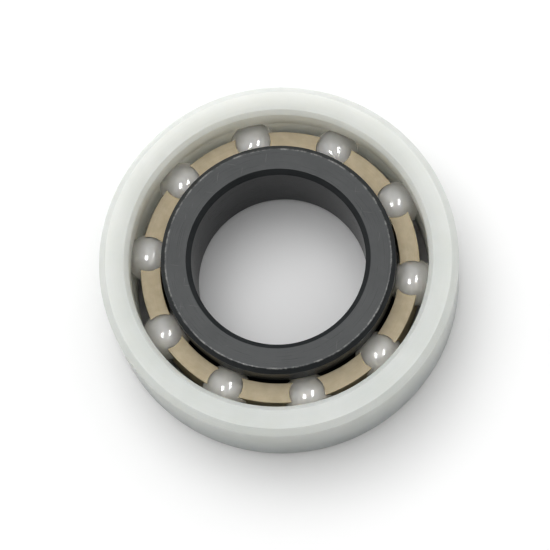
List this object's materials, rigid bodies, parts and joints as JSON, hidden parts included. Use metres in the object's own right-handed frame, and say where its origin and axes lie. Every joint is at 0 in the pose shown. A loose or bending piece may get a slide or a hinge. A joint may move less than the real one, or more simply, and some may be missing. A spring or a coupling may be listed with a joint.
{
  "type": "deep groove ball bearing",
  "caption": "Open single-row deep groove ball bearing with a white outer ring, a dark grey inner ring, a tan snap-in crown cage and smoky glass balls.",
  "frame": {"origin": "centre of the bearing: on its axis, half way through its width", "axes": "+Z along the bearing's axis, towards the open side of the cage; +Y through the centre of ball_01"},
  "size_m": [0.035, 0.035, 0.01],
  "materials": {
    "outer_ring": "milky white, satin turned surface",
    "inner_ring": "dark grey, fine ground satin",
    "cage": "tan, matte machined",
    "balls": "smoky grey, polished"
  },
  "bodies": {
    "outer_ring": {"outer_ring": "outer_ring"},
    "inner_ring": {"inner_ring": "inner_ring"},
    "cage": {"cage": "cage"},
    "ball_01": {"ball_01": "balls"},
    "ball_02": {"ball_02": "balls"},
    "ball_03": {"ball_03": "balls"},
    "ball_04": {"ball_04": "balls"},
    "ball_05": {"ball_05": "balls"},
    "ball_06": {"ball_06": "balls"},
    "ball_07": {"ball_07": "balls"},
    "ball_08": {"ball_08": "balls"},
    "ball_09": {"ball_09": "balls"},
    "ball_10": {"ball_10": "balls"}
  },
  "joints": [
    {"name": "inner_ring_spin", "type": "hinge", "parent": "outer_ring", "child": "inner_ring", "pos_m": [0, 0, 0], "axis": [0, 0, 1], "continuous": true},
    {"name": "cage_spin", "type": "hinge", "parent": "outer_ring", "child": "cage", "pos_m": [0, 0, 0], "axis": [0, 0, 1], "continuous": true},
    {"name": "ball_01_spin", "type": "hinge", "parent": "cage", "child": "ball_01", "pos_m": [0, 0.013, 0], "axis": [0, 0, 1], "continuous": true},
    {"name": "ball_02_spin", "type": "hinge", "parent": "cage", "child": "ball_02", "pos_m": [0.00764, 0.01052, 0], "axis": [0, 0, 1], "continuous": true},
    {"name": "ball_03_spin", "type": "hinge", "parent": "cage", "child": "ball_03", "pos_m": [0.01236, 0.00402, 0], "axis": [0, 0, 1], "continuous": true},
    {"name": "ball_04_spin", "type": "hinge", "parent": "cage", "child": "ball_04", "pos_m": [0.01236, -0.00402, 0], "axis": [0, 0, 1], "continuous": true},
    {"name": "ball_05_spin", "type": "hinge", "parent": "cage", "child": "ball_05", "pos_m": [0.00764, -0.01052, 0], "axis": [0, 0, 1], "continuous": true},
    {"name": "ball_06_spin", "type": "hinge", "parent": "cage", "child": "ball_06", "pos_m": [0, -0.013, 0], "axis": [0, 0, 1], "continuous": true},
    {"name": "ball_07_spin", "type": "hinge", "parent": "cage", "child": "ball_07", "pos_m": [-0.00764, -0.01052, 0], "axis": [0, 0, 1], "continuous": true},
    {"name": "ball_08_spin", "type": "hinge", "parent": "cage", "child": "ball_08", "pos_m": [-0.01236, -0.00402, 0], "axis": [0, 0, 1], "continuous": true},
    {"name": "ball_09_spin", "type": "hinge", "parent": "cage", "child": "ball_09", "pos_m": [-0.01236, 0.00402, 0], "axis": [0, 0, 1], "continuous": true},
    {"name": "ball_10_spin", "type": "hinge", "parent": "cage", "child": "ball_10", "pos_m": [-0.00764, 0.01052, 0], "axis": [0, 0, 1], "continuous": true}
  ],
  "couplings": [
    {"joint": "cage_spin", "follows": "inner_ring_spin", "ratio": 0.40841},
    {"joint": "ball_01_spin", "follows": "inner_ring_spin", "ratio": -2.6381},
    {"joint": "ball_02_spin", "follows": "inner_ring_spin", "ratio": -2.6381},
    {"joint": "ball_03_spin", "follows": "inner_ring_spin", "ratio": -2.6381},
    {"joint": "ball_04_spin", "follows": "inner_ring_spin", "ratio": -2.6381},
    {"joint": "ball_05_spin", "follows": "inner_ring_spin", "ratio": -2.6381},
    {"joint": "ball_06_spin", "follows": "inner_ring_spin", "ratio": -2.6381},
    {"joint": "ball_07_spin", "follows": "inner_ring_spin", "ratio": -2.6381},
    {"joint": "ball_08_spin", "follows": "inner_ring_spin", "ratio": -2.6381},
    {"joint": "ball_09_spin", "follows": "inner_ring_spin", "ratio": -2.6381},
    {"joint": "ball_10_spin", "follows": "inner_ring_spin", "ratio": -2.6381}
  ]
}
